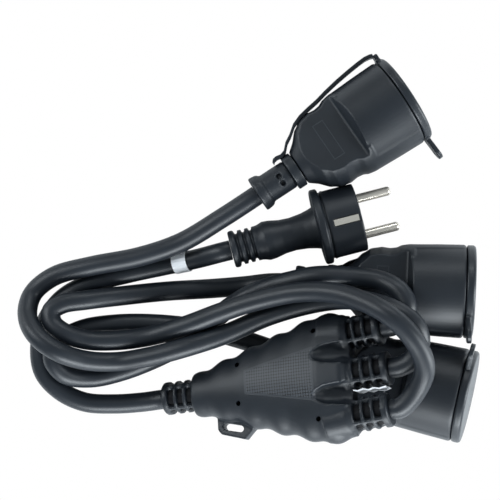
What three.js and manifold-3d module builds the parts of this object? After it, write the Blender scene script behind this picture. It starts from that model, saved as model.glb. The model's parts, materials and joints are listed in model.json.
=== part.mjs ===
// Cable splitter: a plug, a moulded three way hub and three capped sockets on heavy rubber cords,
// lying folded on a flat surface. Millimetres, +Z up, camera side up.
import * as THREE from 'three';
import { mergeVertices } from 'three/addons/utils/BufferGeometryUtils.js';
import Module from 'manifold-3d';

const wasm = await Module();
wasm.setup();

// Driving dimensions that every piece shares
const gap = 0.3;
const facets = 16;
const cord = { radius: 5.2, sides: 8 };
const pin = { radius: 2.4, length: 19, spacing: 19, seat: 15.5 };
const layoutShift = [-36.7, -0.8];

// Cable grips with windows: a collar at the cable end, then slots with ribs between them
const grip = { radius: 8.6, core: 6.4, collar: 3.4, slot: 3.6, rib: 1.8, rows: 3, ridge: 2.4, facets: 10 };

const hub = {
  bodyFrom: 17.4, bodyTo: 105, inletHalf: 10.4, inletThick: 8.6, wideAt: 90, wideHalf: 33.4, endHalf: 31.5,
  thick: 14, thickAt: 68, edgePower: 2.25, scallopPitch: 15.2, scallopDepth: 0.75, scallopFrom: 30.5, stationStep: 5,
  sectionPoints: 20,
};
const valley = { length: 22, radius: 6.5, dip: 10, back: 15, facets: 12 };
const ear = {
  outline: [[29.5, -10], [29.5, -20], [31.5, -22], [44.5, -26], [51.5, -19.5], [50, -12]],
  half: 2, slotRadius: 1.7, slotFar: [42.4, -20.6], slotNear: [34.2, -18.6],
};
const neckWindow = { from: 11, to: 12.7, half: 2, angles: [0, 32, 180, 212] };
// The upper, middle and lower outlet: side, turn in degrees and end
const outlets = [
  { side: 21.5, turn: 3, end: 121.5 },
  { side: 0.8, turn: 2, end: 124.3 },
  { side: -20.5, turn: 4, end: 123 },
];
const outletRoot = 104;
const carrier = { from: 43.5, to: 97, halfFrom: 12, halfTo: 25.5, half: 5.2, slotFrom: 50, pitch: 3.4, wall: 1 };
const pinHole = { radius: 1.35, near: 45.5, nearHalf: 10, far: 88, farHalf: 22.5, shift: 1.2 };

const socket = {
  front: 85.5, drumRadius: 24, beadRadius: 9.6, beadHalf: 2.5, neckRadius: 7.75,
  ringFrom: 17.3, ringTo: 22.9, grooveRadius: 6.9, flatHalf: 13.2, shoulder: 56, shoulderRun: 3,
  railFrom: 33, railProud: 0.35,
};
const recess = { radius: 19.75, depth: 17.5, insertDepth: 8.4, guideHalf: 2.2, guideTall: 1.45, guideShort: 3.4 };
const contact = { inner: 2.5, outer: 3.1, length: 16.7, cover: 1.6, blockLength: 12.4, blockHalf: 14, blockTall: 4.7 };
const bow = { half: 2, thick: 1, reach: 18.6, from: 0.6, length: 21, dip: 0.8 };
const ring = { radius: 9.6, chamfer: 0.4 };
const cap = { thick: 4.6, plate: 3, lipRadius: 18.6, lipWall: 2, lipReach: 3.1, proud: 0.2, round: 1.4 };
const tab = { reach: 36.5, half: 4.7, thick: 2.4, lean: 4, root: 21 };
const strap = { half: 4.5, thick: 2, knuckle: 1.1, knuckleOut: 2.6, knuckleAhead: 2.4, steps: 16 };

const plug = {
  face: 67.6, drumRadius: 18.2, drumFrom: 49, flangeRadius: 20, flangeFrom: 44.8, beadRadius: 9.8,
  ribRadius: 9.1, ribCore: 7.4, ribPitch: 3.8, ribs: 3, waist: 8.7,
  bridgeRadius: 14.2, bridgeThick: 3, guideHalf: 2.8, guideDeep: 1.7, guideFrom: 51.5,
};
const earthStrip = { half: 1.6, thick: 0.9, sunk: 0.1, from: 53, to: 66, bar: 0.8 };

// Places of the groups on the surface: cable end, heading, nose up angle and roll, in degrees
const places = {
  hub: { at: [-44, -79, 8.4], heading: 9.2, nose: 21.3, roll: -15.5 },
  plug: { at: [-8.2, 0.5, 20.1], heading: 14.4, nose: 0, roll: 0 },
  socket_a: { at: [6, 30, 24.3], heading: 33.2, nose: 0, roll: -15, strap: 15 },
  socket_b: { at: [26.4, -17.7, 17], heading: -2.6, nose: 6, roll: -4, strap: -45 },
  socket_c: { at: [27.4, -57.4, 9.95], heading: -12.3, nose: 12.8, roll: 0, strap: -138 },
};

// Finishes
const rubber = new THREE.MeshStandardMaterial({ color: 0x2b2e33, roughness: 0.6, metalness: 0 });
const capRubber = new THREE.MeshStandardMaterial({ color: 0x33363b, roughness: 0.55, metalness: 0 });
const sheath = new THREE.MeshStandardMaterial({ color: 0x2e3237, roughness: 0.5, metalness: 0 });
const plastic = new THREE.MeshStandardMaterial({ color: 0x1c1d20, roughness: 0.45, metalness: 0 });
const nickel = new THREE.MeshStandardMaterial({ color: 0xd9d3c8, roughness: 0.25, metalness: 1 });
const brass = new THREE.MeshStandardMaterial({ color: 0xc9a95a, roughness: 0.35, metalness: 1 });
const paper = new THREE.MeshStandardMaterial({ color: 0xe9edf0, roughness: 0.8, metalness: 0 });

const deg = THREE.MathUtils.degToRad;
const X = new THREE.Vector3(1, 0, 0);
const Y = new THREE.Vector3(0, 1, 0);
const Z = new THREE.Vector3(0, 0, 1);

// A closed solid from a three.js geometry, with its faces turned outwards
function solid(geometry) {
  geometry.deleteAttribute('normal');
  geometry.deleteAttribute('uv');
  const merged = mergeVertices(geometry, 1e-4);
  const coordinates = merged.attributes.position.array;
  const corner = (i) => new THREE.Vector3().fromArray(coordinates, 3 * i);
  const kept = [];
  let volume = 0;
  for (let i = 0; i < merged.index.count; i += 3) {
    const [a, b, c] = [0, 1, 2].map((k) => merged.index.getX(i + k));
    if (a === b || b === c || c === a) continue;
    kept.push([a, b, c]);
    volume += corner(a).dot(corner(b).cross(corner(c)));
  }
  const triangles = kept.flatMap(([a, b, c]) => (volume < 0 ? [a, c, b] : [a, b, c]));
  return new wasm.Manifold(new wasm.Mesh({
    numProp: 3,
    vertProperties: new Float32Array(coordinates),
    triVerts: new Uint32Array(triangles),
  }));
}

// A turned piece about X, from a profile of [station, radius]
function turned(profile, count = facets) {
  const geometry = new THREE.LatheGeometry(profile.map(([u, r]) => new THREE.Vector2(r, u)), count);
  return solid(geometry.rotateZ(-Math.PI / 2));
}

function tube(from, to, inner, outer, count = facets) {
  return turned([[from, inner], [from, outer], [to, outer], [to, inner], [from, inner]], count);
}

function rod(from, to, radius, count = facets) {
  return turned([[from, 0], [from, radius], [to, radius], [to, 0]], count);
}

function block(low, high) {
  const size = high.map((v, i) => v - low[i]);
  const geometry = new THREE.BoxGeometry(...size);
  return solid(geometry.translate(...low.map((v, i) => v + size[i] / 2)));
}

// A plate with its outline in two axes, extruded both ways along the third
function plate(outline, half, basis = [X, Y, Z]) {
  const drawn = outline instanceof THREE.Shape;
  const shape = drawn ? outline : new THREE.Shape(outline.map((p) => new THREE.Vector2(...p)));
  const geometry = new THREE.ExtrudeGeometry(shape, { depth: 2 * half, bevelEnabled: false, curveSegments: 6 });
  geometry.translate(0, 0, -half);
  return solid(geometry.applyMatrix4(new THREE.Matrix4().makeBasis(...basis)));
}

const sideOn = [X, Z, Y.clone().negate()];
const faceOn = [Y, Z, X];

// A skin over rings of equal point count, closed at both ends by a fan
function loft(rings) {
  const count = rings[0].length;
  const positions = rings.flat(2);
  const centre = (points) => [0, 1, 2].map((k) => points.reduce((sum, p) => sum + p[k], 0) / count);
  const first = rings.length * count;
  positions.push(...centre(rings[0]), ...centre(rings[rings.length - 1]));
  const index = [];
  for (let j = 0; j < count; j++) {
    const k = (j + 1) % count;
    for (let i = 0; i < rings.length - 1; i++) {
      const [a, b] = [i * count, (i + 1) * count];
      index.push(a + j, b + j, b + k, a + j, b + k, a + k);
    }
    const last = (rings.length - 1) * count;
    index.push(first, j, k, first + 1, last + k, last + j);
  }
  const geometry = new THREE.BufferGeometry();
  geometry.setAttribute('position', new THREE.Float32BufferAttribute(positions, 3));
  geometry.setIndex(index);
  return solid(geometry);
}

function turn(shape, degrees) {
  return shape.rotate([degrees, 0, 0]);
}

function mesh(name, shape, material) {
  const result = shape.simplify(0.03).getMesh();
  const geometry = new THREE.BufferGeometry();
  geometry.setAttribute('position', new THREE.Float32BufferAttribute(result.vertProperties, 3));
  geometry.setIndex([...result.triVerts]);
  geometry.computeVertexNormals();
  const piece = new THREE.Mesh(geometry, material);
  piece.name = name;
  return piece;
}

function placed({ at, heading, nose, roll }) {
  const group = new THREE.Group();
  group.position.set(...at);
  group.rotation.set(deg(roll), deg(-nose), deg(heading), 'ZYX');
  return group;
}

// Socket outlets

// Radius of the moulded grip below the drum's, by station: flare, finger dip, shoulder and drum
const flare = [
  [24, -14], [27.5, -11.2], [31.5, -6.7], [36, -4.2], [42, -3.1], [46, -3.6], [49.5, -3.1], [52, -1.8],
  [56, -1.1], [62, -0.9],
];

function gripProfile() {
  const { front, drumRadius, beadRadius, beadHalf, neckRadius, ringFrom, ringTo, grooveRadius } = socket;
  return [
    [-beadHalf, 0], [-beadHalf, beadRadius], [-beadHalf + 1.1, beadRadius], [-beadHalf + 1.5, beadRadius - 0.5],
    [beadHalf - 0.9, beadRadius - 0.4], [beadHalf + 0.3, beadRadius - 1], [beadHalf + 0.8, neckRadius],
    [ringFrom - gap, neckRadius], [ringFrom, grooveRadius], [ringTo, grooveRadius], [ringTo + gap, ring.radius - 0.2],
    ...flare.map(([u, below]) => [u, drumRadius + below]),
    [front - 1.2, drumRadius], [front, drumRadius - 0.6], [front, 0],
  ];
}

// The side rails: the same turned form, a little proud, kept only between two tapering edges
function sideRails() {
  const { front, drumRadius, railFrom, railProud, shoulder } = socket;
  const stations = flare.filter(([u]) => u > railFrom);
  const proud = turned([
    [railFrom, 0], [railFrom, drumRadius - 6 + railProud],
    ...stations.map(([u, below]) => [u, drumRadius + below + railProud]),
    [front - 1.2, drumRadius + railProud], [front, drumRadius - 0.6], [front, 0],
  ]);
  const edge = [[railFrom, 19], [shoulder, 17.5], [shoulder + 6, 11.6], [front, 9.4]];
  const band = plate([...edge, ...edge.map(([u, z]) => [u, -z]).reverse()], drumRadius + 2, sideOn);
  return proud.intersect(band);
}

// One flat finger panel, with the sloping shoulder that ends it at the drum
function panelCut(side) {
  const { flatHalf, shoulder, shoulderRun, drumRadius, ringTo } = socket;
  const top = drumRadius + 3;
  const outline = [
    [ringTo, flatHalf], [shoulder, flatHalf], [shoulder + shoulderRun, drumRadius], [shoulder + shoulderRun, top],
    [ringTo, top],
  ];
  return plate(outline.map(([u, z]) => [u, side * z]), top, sideOn);
}

const recessFloor = () => socket.front - recess.depth;
const insertRear = () => recessFloor() - recess.insertDepth;

// Centre line of the strap in its own plane: its tail over the neck, the ring, the rail and the hinge
function strapLine() {
  const { drumRadius, front } = socket;
  const hinge = hingePlace();
  const back = strap.knuckle + gap;
  return [
    [13.3, ring.radius - 0.5], [14.3, ring.radius + 0.6], [16.2, ring.radius + 0.9], [18.8, ring.radius + 0.4],
    [21.5, ring.radius + 1.2], [24.6, drumRadius - 10], [28.4, drumRadius - 7.8], [33, drumRadius - 4.3],
    [37.9, drumRadius - 2.4], [43.5, drumRadius - 1.3], [49.5, drumRadius - 0.4], [56, drumRadius + 1.1],
    [63.7, drumRadius + 2.5], [71, drumRadius + 3.5], [front - 8, drumRadius + 4.2], [front - 3, drumRadius + 4.5],
    [front - 0.1, drumRadius + 4.1], [hinge.u - back * Math.SQRT1_2, hinge.r + back * Math.SQRT1_2],
  ];
}

function hingePlace() {
  return { u: socket.front + strap.knuckleAhead, r: socket.drumRadius + strap.knuckleOut };
}

// A band of even thickness along the strap's line, with both its sides in one outline
function strapBand(inward, outward, half, from = 0) {
  const line = new THREE.SplineCurve(strapLine().map((p) => new THREE.Vector2(...p)));
  const sides = [[], []];
  for (let i = 0; i <= strap.steps; i++) {
    const t = from + (1 - from) * (i / strap.steps);
    const along = line.getTangent(t);
    const normal = new THREE.Vector2(-along.y, along.x);
    sides[0].push(line.getPoint(t).addScaledVector(normal, -inward));
    sides[1].unshift(line.getPoint(t).addScaledVector(normal, outward));
  }
  return plate(new THREE.Shape([...sides[0], ...sides[1]]), half);
}

function socketBody(strapTurn) {
  const { front, drumRadius, ringTo } = socket;
  const floor = recessFloor();
  const rear = insertRear() - gap;
  let body = turned(gripProfile()).add(sideRails());
  body = body.subtract(panelCut(1)).subtract(panelCut(-1));
  // Seat for the strap where it crosses the flare
  const lift = strap.thick / 2 + gap + 0.05;
  const seat = strapBand(lift, 8, strap.half + 0.4, 0.24)
    .intersect(block([ringTo + gap, 0, -drumRadius], [front - 20, 2 * drumRadius, drumRadius]));
  body = body.subtract(turn(seat, strapTurn));
  // Recess, the seat of the contact insert behind it and the pocket of its block
  body = body.subtract(rod(floor - 0.1, front + 1, recess.radius));
  body = body.subtract(rod(rear, floor, recess.radius - gap));
  const pocket = [contact.blockHalf + gap, contact.blockTall + gap];
  const pocketRear = insertRear() - contact.blockLength - gap;
  body = body.subtract(block([pocketRear, -pocket[0], -pocket[1]], [rear + 0.1, ...pocket]));
  // Guide ribs on both side walls of the recess
  for (const side of [-1, 1]) {
    const span = [side * (recess.radius - recess.guideTall), side * (recess.radius + 0.6)].sort((a, b) => a - b);
    const low = [floor + gap, span[0], -recess.guideHalf];
    body = body.add(block(low, [front - recess.guideShort, span[1], recess.guideHalf]));
  }
  // Two pairs of short windows in the cable neck
  for (const angle of neckWindow.angles) {
    const { from, to, half } = neckWindow;
    const window = block([from, -half, socket.neckRadius - 1.2], [to, half, socket.neckRadius + 1]);
    body = body.subtract(turn(window, angle));
  }
  return body;
}

function socketInsert() {
  const floor = recessFloor();
  const rear = insertRear();
  const edge = recess.radius - 2 * gap;
  let insert = rod(rear, floor, edge);
  const blockRear = rear - contact.blockLength;
  insert = insert.add(block([blockRear, -contact.blockHalf, -contact.blockTall],
    [rear + 0.5, contact.blockHalf, contact.blockTall]));
  const holeFrom = floor - contact.cover - contact.length - 2 * gap;
  for (const side of [-1, 1]) {
    const along = [0, (side * pin.spacing) / 2, 0];
    insert = insert.subtract(rod(holeFrom, floor - contact.cover, contact.outer + gap, 12).translate(along));
    insert = insert.subtract(rod(floor - contact.cover - 0.1, floor + 1, pin.radius + 0.35, 12).translate(along));
  }
  const slot = bow.half + gap;
  insert = insert.subtract(block([rear - 1, -slot, -edge - 1], [rear + bow.from + bow.thick + gap, slot, edge + 1])
    .subtract(block([blockRear - 1, -slot - 1, -contact.blockTall], [rear, slot + 1, contact.blockTall])));
  for (const side of [-1, 1]) {
    const inner = bow.reach - bow.thick - gap;
    const span = [side * inner, side * (edge + 1)].sort((a, b) => a - b);
    insert = insert.subtract(block([rear - 1, -slot, span[0]], [floor + 1, slot, span[1]]));
  }
  return insert;
}

function socketContact(side) {
  const to = recessFloor() - contact.cover - gap;
  return tube(to - contact.length, to, contact.inner, contact.outer, 12).translate([0, (side * pin.spacing) / 2, 0]);
}

// Earth bow: a strip across the insert with a spring tongue along each wall of the recess
function earthBow() {
  const from = insertRear() + bow.from;
  const tip = insertRear() + bow.length;
  const outer = bow.reach;
  const inner = bow.reach - bow.thick;
  const arm = [
    [from, outer], [tip - 2, outer], [tip, outer - bow.dip], [tip, inner - bow.dip], [tip - 2.4, inner],
    [from + bow.thick, inner],
  ];
  return plate([...arm, ...arm.map(([u, z]) => [u, -z]).reverse()], bow.half, sideOn);
}

function strapWithRing() {
  const { ringFrom, ringTo, grooveRadius } = socket;
  const [from, to] = [ringFrom + gap, ringTo - gap];
  const inner = grooveRadius + gap;
  const collar = turned([
    [from, inner], [from, ring.radius - ring.chamfer], [from + ring.chamfer, ring.radius],
    [to - ring.chamfer, ring.radius], [to, ring.radius - ring.chamfer], [to, inner], [from, inner],
  ]);
  return collar.add(strapBand(strap.thick / 2, strap.thick / 2, strap.half));
}

function socketCap() {
  const rear = socket.front + gap;
  const front = rear + cap.thick;
  const radius = socket.drumRadius + cap.proud;
  const inside = cap.lipRadius - cap.lipWall;
  const lip = rear - cap.lipReach;
  const disc = turned([
    [front - cap.plate, 0], [front - cap.plate, inside], [lip, inside], [lip, cap.lipRadius - 0.4],
    [lip + 0.8, cap.lipRadius], [rear, cap.lipRadius], [rear, radius - 0.6], [rear + 0.6, radius],
    [front - cap.round, radius], [front - 0.4 * cap.round, radius - 0.3 * cap.round], [front, radius - cap.round],
    [front, 0],
  ]);
  // Lift tab opposite the strap, leaning back a little
  const tongue = new THREE.Shape();
  tongue.moveTo(-tab.root, -tab.half);
  tongue.lineTo(-tab.reach + tab.half, -tab.half);
  tongue.absarc(-tab.reach + tab.half, 0, tab.half, -Math.PI / 2, Math.PI / 2, true);
  tongue.lineTo(-tab.root, tab.half);
  const lean = plate(tongue, tab.thick / 2, faceOn).translate([tab.thick / 2, radius, 0]).rotate([0, 0, tab.lean]);
  const lift = lean.translate([rear + 0.1, -radius, 0]);
  // Link from the rim to the hinge line
  const hinge = hingePlace();
  const link = new THREE.Shape();
  link.moveTo(hinge.u - strap.knuckle, tab.root);
  link.lineTo(hinge.u + strap.knuckle, tab.root);
  link.lineTo(hinge.u + strap.knuckle, hinge.r);
  link.absarc(hinge.u, hinge.r, strap.knuckle, 0, Math.PI, false);
  return disc.add(lift).add(plate(link, strap.half));
}

function socketOutlet(letter, place) {
  const group = placed(place);
  const name = (piece) => `socket_${letter}_${piece}`;
  group.add(mesh(name('body'), socketBody(place.strap), rubber));
  group.add(mesh(name('insert'), socketInsert(), plastic));
  group.add(mesh(name('contact_1'), socketContact(1), brass));
  group.add(mesh(name('contact_2'), socketContact(-1), brass));
  group.add(mesh(name('earth_bow'), earthBow(), nickel));
  const closure = new THREE.Group();
  closure.rotation.x = deg(place.strap);
  closure.add(mesh(name('strap'), strapWithRing(), capRubber));
  closure.add(mesh(name('cap'), socketCap(), capRubber));
  group.add(closure);
  return group;
}

// Plug

function plugProfile() {
  const { face, drumRadius, drumFrom, flangeRadius, flangeFrom, beadRadius, ribRadius, ribCore, ribPitch } = plug;
  const ribs = [];
  for (let i = 0; i < plug.ribs; i++) {
    const at = 2 + i * ribPitch;
    ribs.push([at, ribCore], [at + 1.4, ribCore], [at + 1.6, ribRadius], [at + ribPitch - 0.2, ribRadius]);
  }
  const ribEnd = 2 + plug.ribs * ribPitch;
  return [
    [-1.6, 0], [-1.6, beadRadius - 0.6], [-0.7, beadRadius], [1, beadRadius], [1.7, ribRadius], ...ribs,
    [ribEnd + 1.5, ribRadius + 0.4], [ribEnd + 7, plug.waist + 1.3], [ribEnd + 12.5, plug.waist + 0.3],
    [ribEnd + 18, plug.waist], [flangeFrom - 7, plug.waist + 0.7], [flangeFrom - 2.5, plug.waist + 1.8],
    [flangeFrom, plug.waist + 2.4], [flangeFrom, flangeRadius - 0.8], [flangeFrom + 0.7, flangeRadius],
    [drumFrom - 0.7, flangeRadius], [drumFrom, flangeRadius - 0.8], [drumFrom, drumRadius - 0.7],
    [drumFrom + 1.2, drumRadius - 0.7], [drumFrom + 1.4, drumRadius], [face - 0.5, drumRadius],
    [face, drumRadius - 0.5], [face, 0],
  ];
}

function plugBody() {
  const { face, drumRadius, bridgeRadius, bridgeThick } = plug;
  const pocket = face - bridgeThick - 2 * gap;
  const slot = earthStrip.half + gap;
  const seat = drumRadius - earthStrip.sunk - earthStrip.thick - gap;
  let body = turned(plugProfile());
  body = body.subtract(rod(pocket, face + 1, bridgeRadius + gap));
  const strip = earthStrip.bar + 2 * gap;
  body = body.subtract(block([pocket - strip, -slot, -seat - 0.1], [pocket + 0.1, slot, seat + 0.1]));
  for (const side of [-1, 1]) {
    const along = [0, (side * pin.spacing) / 2, 0];
    body = body.subtract(rod(face - pin.seat - gap, pocket + 0.1, pin.radius + gap, 16).translate(along));
    const groove = [side * seat, side * (drumRadius + 1)].sort((a, b) => a - b);
    body = body.subtract(block([earthStrip.from - gap, -slot, groove[0]], [face + 1, slot, groove[1]]));
    const guide = [side * (drumRadius - plug.guideDeep), side * (drumRadius + 1)].sort((a, b) => a - b);
    body = body.subtract(block([plug.guideFrom, guide[0], -plug.guideHalf], [face + 1, guide[1], plug.guideHalf]));
  }
  return body;
}

function plugBridge() {
  const { face, bridgeRadius, bridgeThick } = plug;
  let bridge = rod(face - bridgeThick - gap, face - gap, bridgeRadius);
  for (const side of [-1, 1]) {
    const hole = rod(face - bridgeThick - 1, face + 1, pin.radius + gap, 16);
    bridge = bridge.subtract(hole.translate([0, (side * pin.spacing) / 2, 0]));
  }
  return bridge;
}

function plugPin(side) {
  const tip = plug.face + pin.length;
  const { radius } = pin;
  const profile = [
    [plug.face - pin.seat, 0], [plug.face - pin.seat, radius], [tip - 1.3, radius], [tip - 0.6, 0.84 * radius],
    [tip - 0.15, 0.5 * radius], [tip, 0],
  ];
  return turned(profile, 16).translate([0, (side * pin.spacing) / 2, 0]);
}

function plugEarthStrip() {
  const outer = plug.drumRadius - earthStrip.sunk;
  const inner = outer - earthStrip.thick;
  const barTo = plug.face - plug.bridgeThick - 3 * gap;
  const barFrom = barTo - earthStrip.bar;
  const half = [
    [barFrom, inner], [earthStrip.from, inner], [earthStrip.from, outer - 0.3], [earthStrip.from + 1, outer],
    [earthStrip.to, outer], [earthStrip.to, inner], [barTo, inner],
  ];
  return plate([...half, ...half.map(([u, z]) => [u, -z]).reverse()], earthStrip.half, sideOn);
}

function twoPinPlug(place) {
  const group = placed(place);
  group.add(mesh('plug_body', plugBody(), rubber));
  group.add(mesh('plug_bridge', plugBridge(), plastic));
  group.add(mesh('plug_pin_1', plugPin(1), nickel));
  group.add(mesh('plug_pin_2', plugPin(-1), nickel));
  group.add(mesh('plug_earth_strip', plugEarthStrip(), nickel));
  return group;
}

// Hub

// A windowed cable grip along -X from its end at the origin, with four ridges through its slots
function cableGrip(length) {
  const { radius, core, collar, slot, rib, rows, ridge } = grip;
  const profile = [[-length, 0], [-length, radius + 0.3]];
  const windows = collar + rows * slot + (rows - 1) * rib;
  for (let i = 0; i < rows; i++) {
    const from = -windows + i * (slot + rib);
    profile.push([from, radius], [from, core], [from + slot, core], [from + slot, radius]);
  }
  profile.push([-0.6, radius], [0, radius - 0.6], [0, 0]);
  let piece = turned(profile, grip.facets);
  for (const [y, z] of [[ridge / 2, radius - 0.3], [radius - 0.3, ridge / 2]]) {
    piece = piece.add(block([-length, -y, -z], [-collar / 2, y, z]));
  }
  return piece;
}

function hubSection(x) {
  const { bodyFrom, bodyTo, inletHalf, inletThick, wideAt, wideHalf, endHalf, thick, thickAt } = hub;
  const rise = Math.min((x - bodyFrom) / (wideAt - bodyFrom), 1);
  const fall = Math.max((x - wideAt) / (bodyTo - wideAt), 0);
  const ripple = hub.scallopDepth * Math.sin((2 * Math.PI * (x - hub.scallopFrom)) / hub.scallopPitch);
  const round = Math.sqrt(Math.max(1 - Math.max((x - bodyTo + 4) / 5, 0) ** 2, 0.09));
  const width = inletHalf + (wideHalf - inletHalf) * rise + (endHalf - wideHalf) * fall + ripple;
  const half = width * (0.8 + 0.2 * round);
  const swell = Math.sin((Math.PI / 2) * Math.min((x - bodyFrom) / (thickAt - bodyFrom), 1));
  const tall = (inletThick + (thick - inletThick) * swell - 1.6 * fall) * round;
  const count = hub.sectionPoints;
  const points = [];
  for (let i = 0; i < count; i++) {
    const angle = (2 * Math.PI * i) / count;
    const curve = (v) => Math.sign(v) * Math.abs(v) ** (2 / hub.edgePower);
    points.push([x, half * curve(Math.cos(angle)), tall * curve(Math.sin(angle))]);
  }
  return points;
}

function carrierOutline(grow) {
  const { from, to, halfFrom, halfTo } = carrier;
  return [
    [from - grow, -halfFrom - grow], [to + grow, -halfTo - grow], [to + grow, halfTo + grow],
    [from - grow, halfFrom + grow],
  ];
}

function hubBody() {
  const { bodyFrom, bodyTo, stationStep, thick } = hub;
  const count = Math.round((bodyTo - bodyFrom) / stationStep);
  const stations = Array.from({ length: count + 1 }, (_, i) => bodyFrom + ((bodyTo - bodyFrom) * i) / count);
  let body = loft(stations.map(hubSection));
  // Valleys between the outlets, above and below
  for (const y of [(outlets[0].side + outlets[1].side) / 2, (outlets[1].side + outlets[2].side) / 2]) {
    for (const side of [-1, 1]) {
      const { length, radius, dip, back } = valley;
      const hollow = turned([[0, 0], [length, radius], [length, 0]], valley.facets).rotate([0, side * dip, 0]);
      body = body.subtract(hollow.translate([bodyTo - back, y, side * (thick + 1)]));
    }
  }
  body = body.add(cableGrip(bodyFrom + 1).rotate([0, 0, 180]));
  for (const { side, turn: aside, end } of outlets) {
    const length = end - outletRoot;
    const shoulder = turned([[-length - 14, 0], [-length - 14, thick - 3], [-length - 2, thick - 3.6],
      [-length + 1, grip.radius + 0.2], [-length + 1, 0]], grip.facets);
    const outlet = cableGrip(length + 3).add(shoulder);
    const place = [outletRoot, side, 0];
    body = body.add(outlet.translate([length, 0, 0]).rotate([0, 0, aside]).translate(place));
  }
  // Hanging tab with its slot on one side
  const slot = new THREE.Path();
  slot.absarc(...ear.slotFar, ear.slotRadius, -Math.PI / 2, Math.PI / 2, false);
  slot.absarc(...ear.slotNear, ear.slotRadius, Math.PI / 2, (3 * Math.PI) / 2, false);
  const hole = plate(new THREE.Shape(slot.getPoints(6)), 10);
  body = body.add(plate(ear.outline, ear.half)).subtract(hole);
  // Room for the splice carrier, open through the moulding pin holes
  const room = carrier.half + gap;
  body = body.subtract(plate(carrierOutline(gap), room));
  for (const [x, half] of [[pinHole.near, pinHole.nearHalf], [pinHole.far, pinHole.farHalf]]) {
    for (const side of [-1, 1]) {
      const pinCut = rod(-thick - 2, thick + 2, pinHole.radius, 12).rotate([0, 90, 0]);
      body = body.subtract(pinCut.translate([x, pinHole.shift + side * half, 0]));
    }
  }
  return body;
}

function spliceCarrier() {
  let piece = plate(carrierOutline(0), carrier.half);
  for (const level of [-1, 0, 1]) {
    const middle = level * carrier.pitch;
    const room = carrier.wall / 2 + gap;
    const low = [carrier.slotFrom, -carrier.halfTo - 1, middle - room];
    piece = piece.subtract(block(low, [carrier.to + 1, carrier.halfTo + 1, middle + room]));
  }
  return piece;
}

// One splice: a stem for the supply wire and a tine for each outlet wire
function splice(level) {
  const from = carrier.slotFrom + gap;
  const to = carrier.to - 2;
  const tine = 2.2;
  const stem = 3;
  const reach = carrier.halfTo - 4;
  const bend = to - 4;
  const arm = [
    [from, stem], [from + 9, stem], [bend, reach + tine], [to, reach + tine], [to, reach - tine],
    [bend, reach - tine], [from + 20, tine], [to, tine],
  ];
  const outline = [...arm, ...arm.map(([x, y]) => [x, -y]).reverse()];
  return plate(outline, carrier.wall / 2).translate([0, 0, level * carrier.pitch]);
}

// A blank tag standing in the valley beside the middle outlet
function flagLabel() {
  const middle = outlets[1];
  const y = middle.side - grip.radius - 2 * gap - 0.2;
  return block([hub.bodyTo + 1, y - 0.2, -3], [middle.end - 1, y + 0.2, 6.5])
    .translate([-outletRoot, -middle.side, 0]).rotate([0, 0, middle.turn]).translate([outletRoot, middle.side, 0]);
}

function splitterHub(place) {
  const group = placed(place);
  group.add(mesh('hub_body', hubBody(), rubber));
  group.add(mesh('hub_carrier', spliceCarrier(), plastic));
  group.add(mesh('splice_live', splice(1), brass));
  group.add(mesh('splice_neutral', splice(0), brass));
  group.add(mesh('splice_earth', splice(-1), brass));
  group.add(mesh('flag_label', flagLabel(), paper));
  return group;
}

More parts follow.
